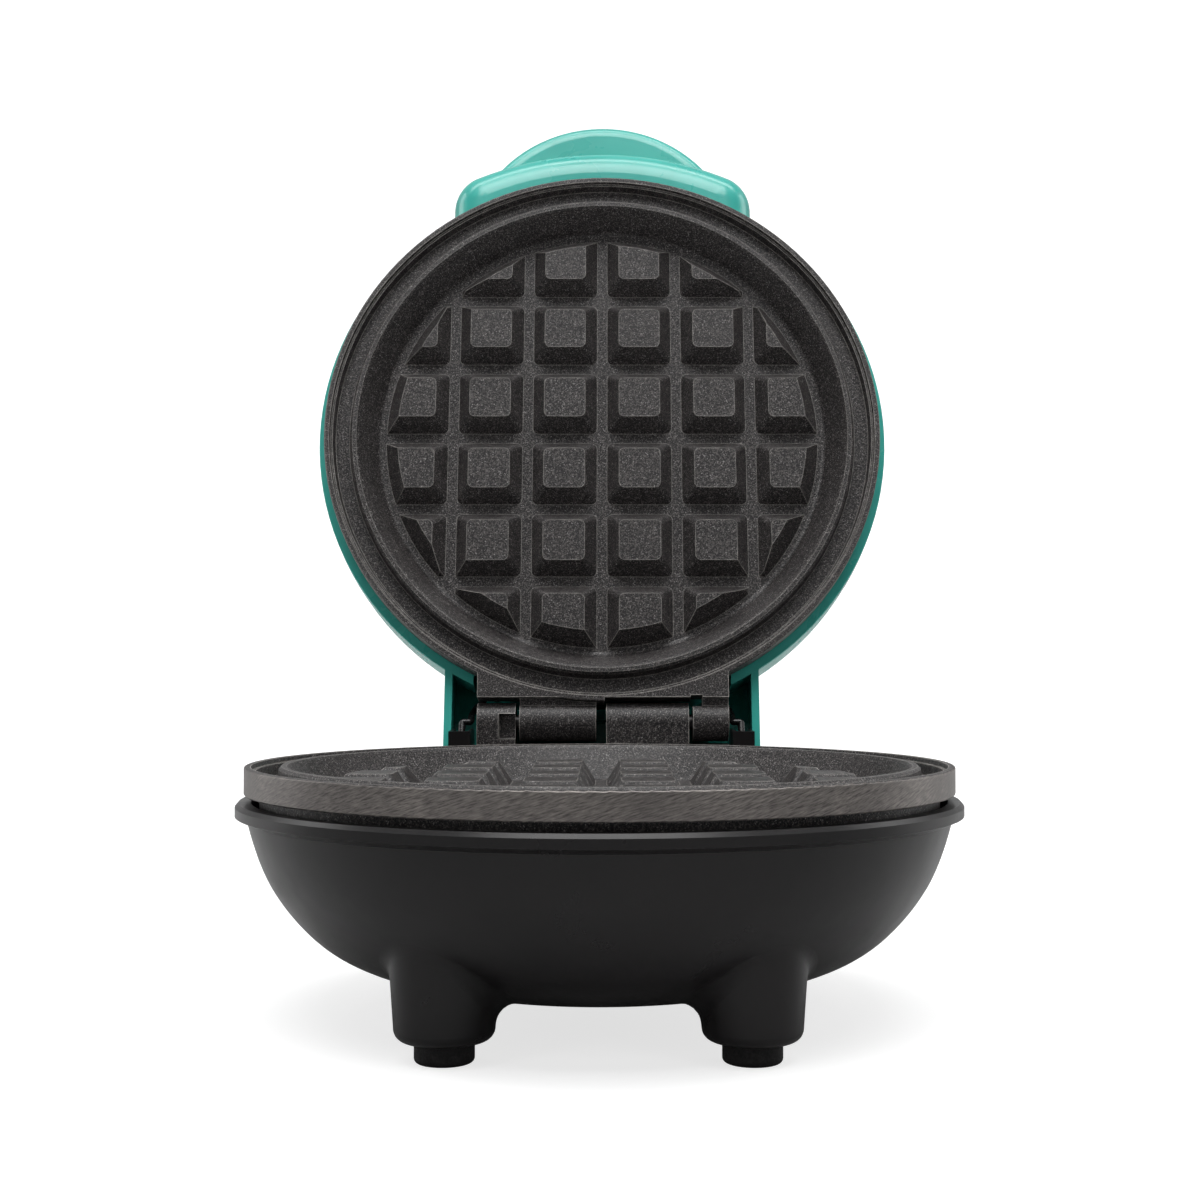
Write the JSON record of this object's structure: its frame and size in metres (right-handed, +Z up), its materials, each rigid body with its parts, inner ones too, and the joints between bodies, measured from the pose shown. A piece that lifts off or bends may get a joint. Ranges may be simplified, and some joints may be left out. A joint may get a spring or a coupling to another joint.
{
  "type": "waffle maker",
  "caption": "Small round electric waffle maker with a deep-grid plate in base and lid, a black bowl-shaped base on stub legs and a domed lid with front handle and rear hinge",
  "frame": {"origin": "Centre of the bounding box in plan, at the height of the foot pads' undersides, with the lid fully open", "axes": "+Z up, -Y toward the user and the handle's side when closed, +Y to the hinge and the back, +X to the user's right"},
  "size_m": [0.131, 0.185, 0.1947],
  "materials": {
    "lid_shell": "moulded teal plastic, satin gloss",
    "base_shell": "moulded near-black plastic, gloss",
    "plate_coating": "cast aluminium under a charcoal non-stick coating with fine grey fleck, rim band bare",
    "pin_steel": "drawn steel rod",
    "screw_steel": "zinc-plated steel",
    "shield_steel": "pressed sheet steel",
    "element_tube": "heat-darkened steel sheath",
    "foot_rubber": "matt black rubber",
    "ceramic_body": "unglazed ceramic",
    "fuse_case": "drawn aluminium case",
    "glass_sleeve": "woven glass-fibre sleeve",
    "block_plastic": "heat-resistant moulded plastic",
    "terminal_brass": "turned brass",
    "lead_insulation": "silicone-coated stranded lead",
    "hinge_lead_cover": "black silicone sleeve over a stranded lead",
    "lens_plastic": "clear tinted light pipe",
    "lamp_glass": "clear glass bulb"
  },
  "bodies": {
    "base": {"lower_plate": "plate_coating", "hinge_pin_left": "pin_steel", "hinge_pin_right": "pin_steel", "base_housing": "base_shell", "foot_pad_front_left": "foot_rubber", "foot_pad_front_right": "foot_rubber", "foot_pad_rear_left": "foot_rubber", "foot_pad_rear_right": "foot_rubber", "cord_inlet_grommet": "foot_rubber", "lower_heating_element": "element_tube", "lower_element_pins": "pin_steel", "lower_element_clamp": "shield_steel", "lower_clamp_screws": "screw_steel", "lower_heat_shield": "shield_steel", "housing_screws": "screw_steel", "thermostat": "ceramic_body", "thermostat_screws": "screw_steel", "thermal_fuse": "fuse_case", "thermal_fuse_sleeve": "glass_sleeve", "terminal_block": "block_plastic", "terminal_screws": "terminal_brass", "thermostat_leads": "lead_insulation", "fuse_leads": "lead_insulation", "lower_element_leads": "lead_insulation", "hinge_leads_base": "hinge_lead_cover"},
    "lid": {"upper_plate": "plate_coating", "lid_housing": "lid_shell", "upper_heating_element": "element_tube", "upper_element_pins": "pin_steel", "upper_element_clamp": "shield_steel", "upper_clamp_screws": "screw_steel", "lid_heat_shield": "shield_steel", "upper_plate_screws": "screw_steel", "hinge_leads_lid": "hinge_lead_cover", "lamp_leads": "lead_insulation", "indicator_lens": "lens_plastic", "indicator_lamp": "lamp_glass", "lamp_holder": "block_plastic"}
  },
  "joints": [
    {"name": "lid_hinge", "type": "hinge", "parent": "base", "child": "lid", "pos_m": [0, 0.03985, 0.0495], "axis": [1, 0, 0], "range_deg": [0, 103.5]}
  ]
}
